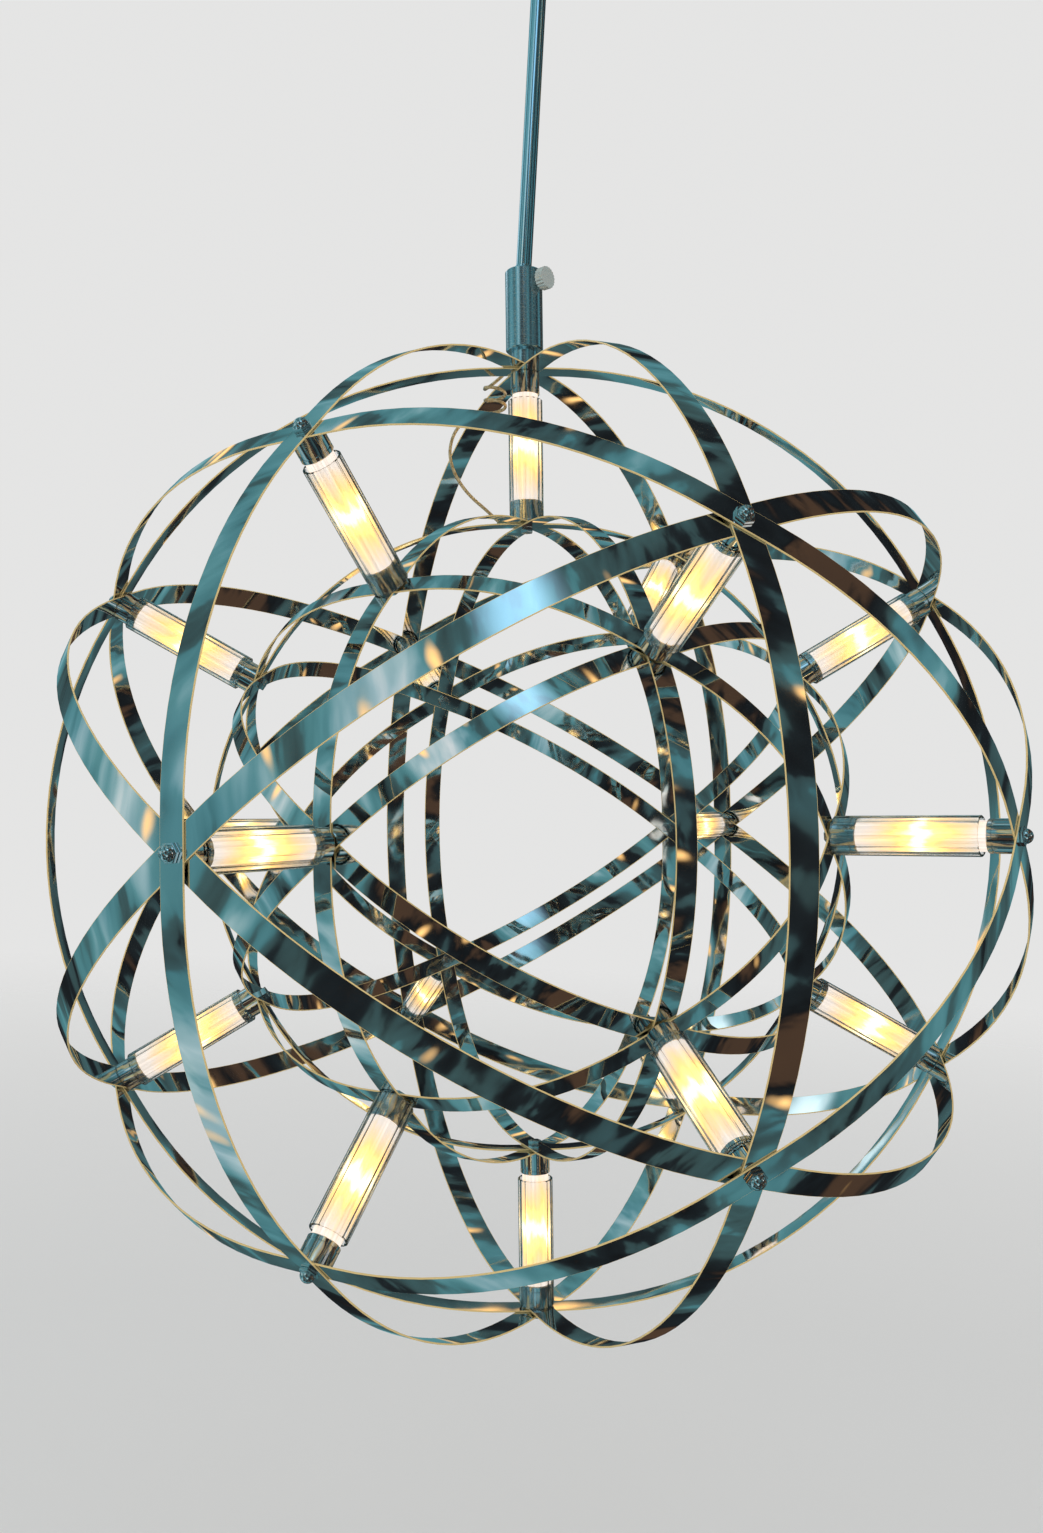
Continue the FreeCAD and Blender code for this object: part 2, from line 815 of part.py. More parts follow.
# ---- every piece to its file
pieces = {
    "ceiling_plate": ceiling_plate(),
    "stem_bridge": stem_bridge(),
    "bridge_rivets": bridge_rivets(),
    "led_driver": led_driver(),
    "terminal_block": terminal_block(),
    "stem": stem(),
    "stem_nuts": stem_nuts(),
    "stem_ferrule": stem_ferrule(),
    "canopy": canopy(),
    "lock_ring": lock_ring(),
    "lock_screw": lock_screw(),
    "collar": hung(collar()),
    "thumbscrew": hung(thumbscrew()),
    "outer_lamp_caps": hung(outer_lamp_caps()),
    "inner_lamp_caps": hung(inner_lamp_caps()),
    "led_boards": hung(led_boards()),
    "light_rods": hung(light_rods()),
    "glass_sleeves": hung(glass_sleeves()),
    "outer_cap_nuts": hung(outer_cap_nuts()),
    "inner_nuts": hung(inner_nuts()),
    "stem_lead": stem_lead(),
    "feed_lead": hung(lead_tube("feed_lead", feed_route)),
    "feed_lead_coil": hung(feed_lead_coil()),
    "drop_lead": hung(lead_tube("drop_lead", drop_route)),
    "lead_tag": hung(lead_tag()),
}
for number in range(len(hoop_normals)):
    pieces["outer_hoop_%d" % (number + 1)] = hung(hoop(number, True))
    pieces["inner_hoop_%d" % (number + 1)] = hung(hoop(number, False))

os.makedirs("parts", exist_ok=True)
for name, shape in pieces.items():
    shape.exportStep(os.path.join("parts", name + ".step"))
    print(name, "solids", len(shape.Solids), "volume", round(shape.Volume, 1), "valid", shape.isValid())
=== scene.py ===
import math
import bmesh
import bpy
from mathutils import Matrix, Vector


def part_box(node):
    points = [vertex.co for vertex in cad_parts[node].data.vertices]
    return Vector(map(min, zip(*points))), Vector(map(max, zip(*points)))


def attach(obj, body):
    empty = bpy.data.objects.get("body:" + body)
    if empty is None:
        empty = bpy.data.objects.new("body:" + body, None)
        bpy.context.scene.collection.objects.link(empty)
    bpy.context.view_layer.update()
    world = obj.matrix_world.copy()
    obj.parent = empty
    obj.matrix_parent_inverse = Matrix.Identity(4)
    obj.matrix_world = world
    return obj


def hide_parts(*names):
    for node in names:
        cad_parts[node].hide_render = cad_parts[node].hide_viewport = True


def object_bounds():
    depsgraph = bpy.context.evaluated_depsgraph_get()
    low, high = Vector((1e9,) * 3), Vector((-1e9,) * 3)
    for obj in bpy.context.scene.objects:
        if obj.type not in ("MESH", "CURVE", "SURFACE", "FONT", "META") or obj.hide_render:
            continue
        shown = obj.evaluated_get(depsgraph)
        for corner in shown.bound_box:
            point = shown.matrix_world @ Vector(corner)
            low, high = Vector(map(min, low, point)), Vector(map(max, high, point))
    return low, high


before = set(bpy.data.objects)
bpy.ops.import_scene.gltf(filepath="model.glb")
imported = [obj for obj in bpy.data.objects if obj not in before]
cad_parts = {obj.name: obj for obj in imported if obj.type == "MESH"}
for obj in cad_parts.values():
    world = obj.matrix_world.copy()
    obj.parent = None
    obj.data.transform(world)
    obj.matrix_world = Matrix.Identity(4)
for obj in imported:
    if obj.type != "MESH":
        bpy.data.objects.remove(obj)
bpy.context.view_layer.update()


# ---- Ceiling plate
# A round steel plate, zinc plated, that two screws hold to the ceiling through its slots. Everything
# else hangs from it. Its stamped edge is slightly rounded.
mm = 0.001
plated_grey = (0.60, 0.61, 0.62, 1)
plate_edge = 0.3 * mm
crisp_angle = math.radians(40)
smooth_angle = math.radians(38)
loose_corners = 0.002 * mm


def new_material(name, colour, metallic, roughness):
    """A material with the shader's plain values set; the section that needs it adds the detail."""
    material = bpy.data.materials.new(name)
    material.use_nodes = True
    shader = material.node_tree.nodes["Principled BSDF"]
    shader.inputs["Base Color"].default_value = colour
    shader.inputs["Metallic"].default_value = metallic
    shader.inputs["Roughness"].default_value = roughness
    return material, material.node_tree, shader


def noise(tree, coordinate, scale, detail=3.0, stretch=(1, 1, 1)):
    """A noise over a coordinate output, stretched along the three axes."""
    source = tree.nodes.new("ShaderNodeTexCoord")
    mapping = tree.nodes.new("ShaderNodeMapping")
    mapping.inputs["Scale"].default_value = stretch
    texture = tree.nodes.new("ShaderNodeTexNoise")
    texture.inputs["Scale"].default_value = scale
    texture.inputs["Detail"].default_value = detail
    tree.links.new(source.outputs[coordinate], mapping.inputs["Vector"])
    tree.links.new(mapping.outputs["Vector"], texture.inputs["Vector"])
    return texture.outputs["Fac"]


def spread(tree, value, start, end, low, high):
    """A value that goes from start to end, spread from low to high."""
    node = tree.nodes.new("ShaderNodeMapRange")
    node.inputs["From Min"].default_value = start
    node.inputs["From Max"].default_value = end
    node.inputs["To Min"].default_value = low
    node.inputs["To Max"].default_value = high
    tree.links.new(value, node.inputs["Value"])
    return node.outputs["Result"]


def between(tree, value, low, high):
    """A noise, most of which lies between 0.3 and 0.7, spread from low to high."""
    return spread(tree, value, 0.3, 0.7, low, high)


def bumped(tree, shader, value, height, strength=1.0):
    """Lets a value stand up from the surface, as far as a height in metres."""
    node = tree.nodes.new("ShaderNodeBump")
    node.inputs["Strength"].default_value = strength
    node.inputs["Distance"].default_value = height
    tree.links.new(value, node.inputs["Height"])
    tree.links.new(node.outputs["Normal"], shader.inputs["Normal"])


def grained(
    name, colour, metallic, low, high, scale, height=0.0, strength=1.0, detail=3.0, stretch=(1, 1, 1)
):
    """A material with a fine grain: its roughness goes from low to high, and it may stand up."""
    material, tree, shader = new_material(name, colour, metallic, (low + high) / 2)
    grain = noise(tree, "Object", scale, detail, stretch)
    tree.links.new(between(tree, grain, low, high), shader.inputs["Roughness"])
    if height > 0:
        bumped(tree, shader, grain, height, strength)
    return material


def show(name, shape, body, slot, material, *nodes):
    """Makes a bmesh a piece: smooth but for its sharp edges, riding on a body, in place of CAD nodes."""
    for face in shape.faces:
        face.smooth = True
    for edge in shape.edges:
        edge.smooth = len(edge.link_faces) == 2 and edge.calc_face_angle(0) < smooth_angle
    mesh = bpy.data.meshes.new(name)
    shape.to_mesh(mesh)
    shape.free()
    mesh.materials.append(material)
    piece = bpy.data.objects.new(name, mesh)
    bpy.context.scene.collection.objects.link(piece)
    even = piece.modifiers.new("even_shading", "WEIGHTED_NORMAL")
    even.keep_sharp = True
    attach(piece, body)
    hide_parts(*nodes)
    return piece


def rounded(shape, edges, size, steps):
    """Rounds a shape's edges."""
    bmesh.ops.bevel(
        shape, geom=edges, offset=size, offset_type="OFFSET", segments=steps, profile=0.5,
        affect="EDGES", clamp_overlap=True, material=-1,
    )


def softened_shape(node, size):
    """A copy of a CAD node with its sharp edges broken, as tumbling or polishing leaves them."""
    shape = bmesh.new()
    shape.from_mesh(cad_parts[node].data)
    bmesh.ops.remove_doubles(shape, verts=shape.verts, dist=loose_corners)
    crisp = [e for e in shape.edges if len(e.link_faces) == 2 and e.calc_face_angle(0) > crisp_angle]
    rounded(shape, crisp, size, 2)
    return shape


def softened(node, name, body, slot, material, size):
    """A piece that is its CAD node with softer edges."""
    return show(name, softened_shape(node, size), body, slot, material, node)


plated_steel = grained("plated_steel", plated_grey, 1.0, 0.26, 0.44, 900.0, 0.03 * mm, 0.4)
softened("ceiling_plate", "plate_dressed", "stem", "plated_steel", plated_steel, plate_edge)


# ---- Stem bridge and its rivets
# A bent strap of the same plated steel. Two solid aluminium rivets fix its feet to the plate, and
# their domed heads sit under the feet.
bridge_edge = 0.25 * mm
rivet_grey = (0.72, 0.72, 0.73, 1)
rivet_radius = 3.0 * mm
rivet_dome = 1.2 * mm
shank_radius = 1.6 * mm
shank_length = 4.0 * mm
round_sides = 32
dome_angles = [math.radians(15 * i) for i in range(7)]
spun_corners = 0.001 * mm


def lathe(shape, profile, sides):
    """Spins a half section of (radius, height) corners about Z into a closed solid."""
    corners = [shape.verts.new((radius, 0, height)) for radius, height in profile]
    edges = [shape.edges.new(pair) for pair in zip(corners, corners[1:])]
    if profile[0][0] > 0:
        edges.append(shape.edges.new((corners[-1], corners[0])))
    bmesh.ops.spin(
        shape, geom=corners + edges, cent=(0, 0, 0), axis=(0, 0, 1), angle=2 * math.pi,
        steps=sides, use_merge=True, use_duplicate=False,
    )
    bmesh.ops.remove_doubles(shape, verts=shape.verts, dist=spun_corners)
    bmesh.ops.recalc_face_normals(shape, faces=shape.faces)


def placed(shape, template, place):
    """Adds a copy of a finished template to a shape, moved to its place."""
    mesh = bpy.data.meshes.new("template")
    template.to_mesh(mesh)
    mesh.transform(place)
    shape.from_mesh(mesh)
    bpy.data.meshes.remove(mesh)


softened("stem_bridge", "bridge_dressed", "stem", "plated_steel", plated_steel, bridge_edge)

rivet_metal = grained("rivet_metal", rivet_grey, 1.0, 0.22, 0.4, 2500.0)
rivet_low, rivet_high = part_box("bridge_rivets")
rivet = bmesh.new()
rivet_head = [(rivet_radius * math.sin(a), -rivet_dome * math.cos(a)) for a in dome_angles]
rivet_shank = [(shank_radius, 0), (shank_radius, shank_length), (0, shank_length)]
lathe(rivet, rivet_head + rivet_shank, round_sides)
rivets = bmesh.new()
for side in (rivet_low.x + rivet_radius, rivet_high.x - rivet_radius):
    placed(rivets, rivet, Matrix.Translation((side, 0, rivet_low.z + rivet_dome)))
rivet.free()
show("bridge_rivet_heads", rivets, "stem", "rivet_metal", rivet_metal, "bridge_rivets")


# ---- Driver and terminal block
# The supply is a moulded white case with cooling ribs along its lower side, and the terminal block
# is a nylon strip with two screw wells. Both are fixed to the plate, inside the canopy.
case_white = (0.82, 0.82, 0.80, 1)
case_edge = 1.2 * mm
rib_count = 7
rib_width = 1.6 * mm
rib_height = 0.8 * mm
rib_inset = 6.0 * mm
rib_edge = 0.3 * mm
nylon_white = (0.86, 0.86, 0.82, 1)
terminal_edge = 0.6 * mm
well_offset = 4.0 * mm
well_radius = 2.2 * mm
well_wall = 1.0 * mm
well_depth = 1.5 * mm
well_height = 3.0 * mm


def block(shape, low, high, edge, steps=3):
    """A box between two corners with rounded edges."""
    made = bmesh.ops.create_cube(shape, size=1.0)["verts"]
    bmesh.ops.scale(shape, vec=high - low, verts=made)
    bmesh.ops.translate(shape, vec=(low + high) / 2, verts=made)
    rounded(shape, list({e for v in made for e in v.link_edges}), edge, steps)


def moulded(name, colour):
    """A satin moulded plastic with a fine spark-eroded texture."""
    return grained(name, colour, 0.0, 0.38, 0.55, 1400.0, 0.04 * mm, 0.5)


driver_low, driver_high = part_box("led_driver")
driver = bmesh.new()
block(driver, driver_low + Vector((0, 0, rib_height)), driver_high, case_edge)
for i in range(rib_count):
    along = driver_low.y + (i + 1) * (driver_high.y - driver_low.y) / (rib_count + 1)
    rib_low = Vector((driver_low.x + rib_inset, along - rib_width / 2, driver_low.z))
    rib_high = Vector((driver_high.x - rib_inset, along + rib_width / 2, driver_low.z + 2 * rib_height))
    block(driver, rib_low, rib_high, rib_edge, 2)
show("driver_case", driver, "stem", "driver_case", moulded("driver_case", case_white), "led_driver")

terminal_low, terminal_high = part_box("terminal_block")
terminal = bmesh.new()
block(terminal, terminal_low + Vector((0, 0, well_depth)), terminal_high, terminal_edge)
well = bmesh.new()
well_outside = well_radius + well_wall
well_section = [(well_radius, 0), (well_outside, 0), (well_outside, well_height), (well_radius, well_height)]
lathe(well, well_section, round_sides)
for side in (-1, 1):
    place = Vector((side * well_offset, (terminal_low.y + terminal_high.y) / 2, terminal_low.z))
    placed(terminal, well, Matrix.Translation(place))
well.free()
terminal_plastic = moulded("terminal_plastic", nylon_white)
show("terminal_strip", terminal, "stem", "terminal_plastic", terminal_plastic, "terminal_block")


# ---- Stem, its nuts and the ferrule at its foot
# A 10 mm steel tube, polished and chromium plated, held in the bridge between two nuts. A thin
# plated ferrule stands on it where the collar begins.
# The plating's blue tint is a painted reflection of cool light, on the stem and the ferrule.
tube_painted_blue = (0.60, 0.78, 0.86, 1)
tube_edge = 0.2 * mm
nut_edge = 0.4 * mm
ferrule_edge = 0.4 * mm


def polished(name, colour, low, high, wave, wave_size):
    """Polished plating: mirror bright, with faint wipe marks and a slow unevenness of the metal."""
    material, tree, shader = new_material(name, colour, 1.0, low)
    smears = noise(tree, "Object", 60.0, 6.0)
    tree.links.new(between(tree, smears, low, high), shader.inputs["Roughness"])
    bumped(tree, shader, noise(tree, "Object", wave_size, 1.0), wave)
    return material


polished_tube = polished("polished_tube", tube_painted_blue, 0.06, 0.14, 0.1 * mm, 20.0)
softened("stem", "stem_tube", "stem", "polished_tube", polished_tube, tube_edge)
softened("stem_nuts", "stem_nuts_dressed", "stem", "plated_steel", plated_steel, nut_edge)
softened("stem_ferrule", "stem_ferrule_dressed", "stem", "polished_tube", polished_tube, ferrule_edge)


# ---- Canopy, its lock ring and screw
# A spun steel cup, chromium plated, that slides down the stem. The ring under it carries a small
# screw and holds it up against the ceiling.
chrome_white = (0.80, 0.81, 0.82, 1)
canopy_edge = 0.35 * mm
lock_ring_edge = 0.3 * mm
lock_screw_edge = 0.25 * mm
polished_canopy = polished("polished_canopy", chrome_white, 0.07, 0.16, 0.4 * mm, 14.0)
softened("canopy", "canopy_cup", "canopy", "polished_canopy", polished_canopy, canopy_edge)
softened("lock_ring", "lock_ring_dressed", "canopy", "polished_canopy", polished_canopy, lock_ring_edge)
softened("lock_screw", "lock_screw_dressed", "canopy", "plated_steel", plated_steel, lock_screw_edge)


# ---- Collar and thumbscrew
# The collar is turned from bar and plated: a wide body over a narrow foot that stands on the topmost
# crossing. The thumbscrew's fluted head, nickel plated, is turned by hand and clamps the stem.
# The collar's blue tint is a painted reflection of cool light, not the plating's own colour.
collar_painted_blue = (0.56, 0.74, 0.81, 1)
tool_marks = (40, 40, 6000)
collar_edge = 0.25 * mm
screw_nickel = (0.86, 0.84, 0.78, 1)
screw_edge = 0.2 * mm
turned_metal = grained("turned_metal", collar_painted_blue, 1.0, 0.16, 0.28, 1.0, 0.03 * mm, 0.3, 2.0, tool_marks)
softened("collar", "collar_turned", "sphere", "turned_metal", turned_metal, collar_edge)
screw_metal = grained("screw_metal", screw_nickel, 0.55, 0.22, 0.42, 900.0, 0.04 * mm, 0.5, 4.0)
softened("thumbscrew", "thumbscrew_turned", "thumbscrew", "turned_metal", screw_metal, screw_edge)


# ---- The two spheres of bands
# Each sphere is seven closed hoops of 1 mm polished steel strip, bent flat where they cross. The strip
# keeps a slow waviness from rolling, and its satin cut edges carry a painted gold glow of the lamps' light.
band_grey = (0.70, 0.72, 0.73, 1)
band_warm = (0.80, 0.79, 0.76, 1)
edge_painted_glow_gold = (1.0, 0.74, 0.33, 1)
edge_metallic = 0.1
band_edge = 0.3 * mm
face_slope = 0.95
hoop_count = 7
stem_lean = math.radians(3.8)
collar_top = 363.5 * mm
collar_play = 0.5 * mm
pivot = Vector((0, 0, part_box("stem_ferrule")[0].z - collar_play))
lean = Matrix.Rotation(-stem_lean, 4, "Y")
hang = Matrix.Translation(pivot) @ lean @ Matrix.Translation((0, 0, -collar_top))
sphere_middle = hang @ Vector((0, 0, 0))


def ramp(tree, value, stops):
    """Colours along a value, each stop a (place, colour) pair."""
    node = tree.nodes.new("ShaderNodeValToRGB")
    elements = node.color_ramp.elements
    while len(elements) < len(stops):
        elements.new(0.5)
    for element, (place, colour) in zip(elements, stops):
        element.position = place
        element.color = colour
    tree.links.new(value, node.inputs["Fac"])
    return node.outputs["Color"]


def mixed(tree, share, first, colour):
    """A node's colour mixed with a plain one, by a share from 0 to 1."""
    node = tree.nodes.new("ShaderNodeMix")
    node.data_type = "RGBA"
    node.inputs["B"].default_value = colour
    tree.links.new(share, node.inputs["Factor"])
    tree.links.new(first, node.inputs["A"])
    return node.outputs["Result"]


polished_band, band_tree, band_shader = new_material("polished_band", band_warm, 1.0, 0.06)
band_smears = noise(band_tree, "Object", 45.0, 6.0)
band_tree.links.new(between(band_tree, band_smears, 0.015, 0.07), band_shader.inputs["Roughness"])
band_clouds = noise(band_tree, "Object", 25.0, 2.0)
band_tint = ramp(band_tree, band_clouds, [(0.35, band_grey), (0.65, band_warm)])
# Painted glow: the cut edges get a gold base colour with little metal, standing in for the lamps' light.
edge_mark = band_tree.nodes.new("ShaderNodeAttribute")
edge_mark.attribute_name = "painted_glow_edge"
on_edge = edge_mark.outputs["Fac"]
band_tree.links.new(mixed(band_tree, on_edge, band_tint, edge_painted_glow_gold), band_shader.inputs["Base Color"])
band_tree.links.new(spread(band_tree, on_edge, 0.0, 1.0, 1.0, edge_metallic), band_shader.inputs["Metallic"])
bumped(band_tree, band_shader, noise(band_tree, "Object", 22.0, 1.5), 0.5 * mm)
for number in range(1, hoop_count + 1):
    for which in ("outer", "inner"):
        hoop = "%s_hoop_%d" % (which, number)
        band = softened_shape(hoop, band_edge)
        band.normal_update()
        # Marks the cut edges, where the painted lamp glow goes.
        painted_glow_edge = band.faces.layers.float.new("painted_glow_edge")
        for face in band.faces:
            outwards = (face.calc_center_median() - sphere_middle).normalized()
            face[painted_glow_edge] = 1.0 if abs(face.normal.dot(outwards)) < face_slope else 0.0
        show(hoop + "_band", band, "sphere", "polished_band", polished_band, hoop)


# ---- Lamp caps
# Every crossing of the outer sphere is joined to the one below it on the inner sphere by a lamp. Its
# two end caps are turned brass, chromium plated, with a groove near the rim, and stud fixed. Golden
# streaks along them are a painted reflection of the lamp's glow in the plating.
cap_steel = (0.64, 0.66, 0.68, 1)
cap_painted_glow_gold = (1.0, 0.72, 0.34, 1)
cap_painted_glow_pale = (0.95, 0.88, 0.74, 1)
gold_start = 0.52
gold_full = 0.57
gold_metallic = 0.45
cap_radius = 9.25 * mm
cap_length = 14.0 * mm
cap_edge = 0.5 * mm
cap_groove = 0.5 * mm
groove_place = 3.0 * mm
cap_sides = 48
inner_seat = 200.0 * mm
outer_seat = 297.0 * mm
side_axis = Vector((2, -1, -1)).normalized()
depth_axis = Vector((-1, -1, -1)).normalized()
up_axis = Vector((0, 1, -1)).normalized()


def to_sphere(cube_vector):
    """A direction of the cube that the bands are laid out on, seen in the sphere's own frame."""
    cube = Vector(cube_vector)
    return Vector((cube.dot(side_axis), cube.dot(depth_axis), cube.dot(up_axis))).normalized()


square_axes = [to_sphere(v) for v in ((1, 0, 0), (0, 1, 0), (0, 0, 1))]
double_crossings = [axis * sign for axis in square_axes for sign in (1, -1)]
triple_crossings = [
    (square_axes[a] * first + square_axes[b] * second).normalized()
    for a, b in ((0, 1), (1, 2), (2, 0))
    for first in (1, -1)
    for second in (1, -1)
]
crossings = double_crossings + triple_crossings


def stand_on(crossing, height=0.0):
    """The place of a piece that is built along +Z, at a height over the sphere's centre."""
    turn = Vector((0, 0, 1)).rotation_difference(crossing).to_matrix().to_4x4()
    return hang @ turn @ Matrix.Translation((0, 0, height))


def cap_profile(seat, inward):
    """Half section of a cap from its seat towards the middle of the lamp."""
    rim = seat + inward * cap_length
    groove = rim - inward * groove_place
    return [
        (0, seat),
        (cap_radius - cap_edge, seat),
        (cap_radius, seat + inward * cap_edge),
        (cap_radius, groove - inward * cap_groove),
        (cap_radius - cap_groove, groove - inward * cap_groove),
        (cap_radius - cap_groove, groove + inward * cap_groove),
        (cap_radius, groove + inward * cap_groove),
        (cap_radius, rim - inward * cap_edge),
        (cap_radius - cap_edge, rim),
        (0, rim),
    ]


def measured(shape, start, end):
    """A map for streaks: across it runs once round a piece, and along it from one height to another."""
    layer = shape.loops.layers.uv.new("along")
    for face in shape.faces:
        middle = face.calc_center_median()
        turn = math.atan2(middle.y, middle.x)
        for loop in face.loops:
            place = loop.vert.co
            angle = math.atan2(place.y, place.x)
            if angle - turn > math.pi:
                angle -= 2 * math.pi
            if turn - angle > math.pi:
                angle += 2 * math.pi
            loop[layer].uv = (angle / (2 * math.pi) + 0.5, (place.z - start) / (end - start))


lamp_cap = polished("lamp_cap", cap_steel, 0.04, 0.12, 0.1 * mm, 90.0)
cap_tree = lamp_cap.node_tree
cap_shader = cap_tree.nodes["Principled BSDF"]
# Painted reflection: gold and pale streaks in the base colour stand in for the lamp's glow mirrored in the
# plating.
painted_glow_streaks = noise(cap_tree, "UV", 1.0, 1.5, (15, 0.7, 1))
cap_painted_glow = ramp(cap_tree, painted_glow_streaks, [(gold_start, cap_steel), (gold_full, cap_painted_glow_gold), (0.66, cap_painted_glow_pale)])
cap_metallic = spread(cap_tree, painted_glow_streaks, gold_start, gold_full, 1.0, gold_metallic)
cap_tree.links.new(cap_painted_glow, cap_shader.inputs["Base Color"])
cap_tree.links.new(cap_metallic, cap_shader.inputs["Metallic"])
for name, seat, inward in (("inner_lamp_caps", inner_seat, 1), ("outer_lamp_caps", outer_seat, -1)):
    cap = bmesh.new()
    lathe(cap, cap_profile(seat, inward), cap_sides)
    measured(cap, seat, seat + inward * cap_length)
    caps = bmesh.new()
    for crossing in crossings:
        placed(caps, cap, stand_on(crossing))
    cap.free()
    show(name + "_turned", caps, "sphere", "lamp_cap", lamp_cap, name)


# ---- Light sources
# Between the caps stands a milky acrylic rod that carries the board with its light-emitting chips.
# The chips sit at mid length, so the rod is golden there and pale towards its ends.
rod_white = (0.55, 0.50, 0.45, 1)
rod_radius = 8.2 * mm
rod_sides = 40
rod_low = inner_seat + cap_length
rod_high = outer_seat - cap_length
glow_strength = 3.0
glow_pale = (0.29, 0.25, 0.22, 1)
glow_cream = (0.35, 0.24, 0.13, 1)
glow_gold = (0.50, 0.27, 0.06, 1)
glow_bright = (0.80, 0.47, 0.10, 1)
glow_hot = (1.0, 0.85, 0.50, 1)


def calculated(tree, operation, *values):
    """A sum on numbers and on the outputs of other nodes."""
    node = tree.nodes.new("ShaderNodeMath")
    node.operation = operation
    for socket, value in zip(node.inputs, values):
        if isinstance(value, bpy.types.NodeSocket):
            tree.links.new(value, socket)
        else:
            socket.default_value = value
    return node.outputs["Value"]


rod_glow, glow_tree, glow_shader = new_material("milky_rod", rod_white, 0.0, 0.35)
glow_source = glow_tree.nodes.new("ShaderNodeTexCoord")
glow_split = glow_tree.nodes.new("ShaderNodeSeparateXYZ")
glow_tree.links.new(glow_source.outputs["UV"], glow_split.inputs["Vector"])
glow_place = calculated(glow_tree, "MULTIPLY_ADD", glow_split.outputs["Y"], 0.8, -0.07)
fine_wander = noise(glow_tree, "UV", 1.0, 2.0, (9, 2.2, 1))
slow_wander = noise(glow_tree, "Object", 16.0, 1.0)
glow_place = calculated(glow_tree, "MULTIPLY_ADD", fine_wander, 0.34, glow_place)
glow_place = calculated(glow_tree, "MULTIPLY_ADD", slow_wander, 0.2, glow_place)
glow_colour = ramp(
    glow_tree,
    glow_place,
    [
        (0.22, glow_pale),
        (0.34, glow_cream),
        (0.44, glow_gold),
        (0.53, glow_bright),
        (0.60, glow_hot),
        (0.67, glow_bright),
        (0.77, glow_gold),
        (0.88, glow_cream),
        (0.98, glow_pale),
    ],
)
fine_lines = between(glow_tree, noise(glow_tree, "UV", 1.0, 1.0, (44, 0.8, 1)), 0.72, 1.18)
glow_lines = glow_tree.nodes.new("ShaderNodeVectorMath")
glow_lines.operation = "SCALE"
glow_tree.links.new(glow_colour, glow_lines.inputs[0])
glow_tree.links.new(fine_lines, glow_lines.inputs["Scale"])
glow_tree.links.new(glow_lines.outputs["Vector"], glow_shader.inputs["Emission Color"])
glow_shader.inputs["Emission Strength"].default_value = glow_strength
rod = bmesh.new()
bmesh.ops.create_cone(
    rod, cap_ends=True, segments=rod_sides, radius1=rod_radius, radius2=rod_radius, depth=rod_high - rod_low,
    matrix=Matrix.Translation((0, 0, (rod_high + rod_low) / 2)),
)
measured(rod, rod_low, rod_high)
rods = bmesh.new()
for crossing in crossings:
    placed(rods, rod, stand_on(crossing))
rod.free()
show("light_rods_lit", rods, "sphere", "milky_rod", rod_glow, "led_boards", "light_rods")


# ---- Glass sleeves
# A clear drawn-glass tube slips loosely over each lamp and its caps. Drawing leaves its bore with
# shallow ribs along it, which streak what is seen through it, and its cut ends are fire polished.
glass_tint = (0.97, 0.99, 1.0, 1)
glass_ior = 1.47
sleeve_outside = 11.0 * mm
sleeve_wall = 1.4 * mm
sleeve_bore = sleeve_outside - sleeve_wall
sleeve_length = 79.0 * mm
sleeve_end_gap = 0.5 * mm
sleeve_round = 0.4 * mm
sleeve_play = outer_seat - inner_seat - 2 * sleeve_end_gap - sleeve_length
ripple_count = 15
ripple_height = 0.14 * mm
sides_per_ripple = 8
upright = 0.99


def slid(number, crossing):
    """How far a sleeve has slid from the inner end of its lamp to the outer end, from 0 to 1."""
    if abs(crossing.z) > upright:
        return 0.0 if crossing.z > 0 else 1.0
    return 0.0 if number < len(double_crossings) else 0.5


clear_glass, glass_tree, glass_shader = new_material("clear_glass", glass_tint, 0.0, 0.02)
glass_shader.inputs["Transmission Weight"].default_value = 1.0
glass_shader.inputs["IOR"].default_value = glass_ior
bumped(glass_tree, glass_shader, noise(glass_tree, "UV", 1.0, 2.0, (46, 0.6, 1)), 0.6 * mm, 0.6)
sleeve = bmesh.new()
lathe(
    sleeve,
    [
        (sleeve_bore, sleeve_round),
        (sleeve_bore + sleeve_round, 0),
        (sleeve_outside - sleeve_round, 0),
        (sleeve_outside, sleeve_round),
        (sleeve_outside, sleeve_length - sleeve_round),
        (sleeve_outside - sleeve_round, sleeve_length),
        (sleeve_bore + sleeve_round, sleeve_length),
        (sleeve_bore, sleeve_length - sleeve_round),
    ],
    sides_per_ripple * ripple_count,
)
for corner in sleeve.verts:
    across = Vector((corner.co.x, corner.co.y, 0))
    if across.length < sleeve_bore + 0.1 * mm:
        ripple = math.cos(ripple_count * math.atan2(across.y, across.x))
        corner.co += across.normalized() * ripple_height * ripple
measured(sleeve, 0, sleeve_length)
sleeves = bmesh.new()
for number, crossing in enumerate(crossings):
    bottom = inner_seat + sleeve_end_gap + sleeve_play * slid(number, crossing)
    placed(sleeves, sleeve, stand_on(crossing, bottom))
sleeve.free()
show("glass_sleeves_drawn", sleeves, "sphere", "clear_glass", clear_glass, "glass_sleeves")


# ---- Nuts on the crossings
# Outside each crossing a domed cap nut closes the stud that runs through the bands into the cap, and
# a plain hexagon nut does so inside the inner sphere, where the stud's end shows.
outer_radius = 300.0 * mm
band_thickness = 1.0 * mm
nut_chamfer = 0.35 * mm
cap_nut_radius = 4.6 * mm
cap_nut_hex = 2.2 * mm
cap_nut_height = 6.0 * mm
crown_inset = 0.5 * mm
crown_sink = 0.1 * mm
inner_nut_radius = 3.5 * mm
inner_nut_height = 3.2 * mm


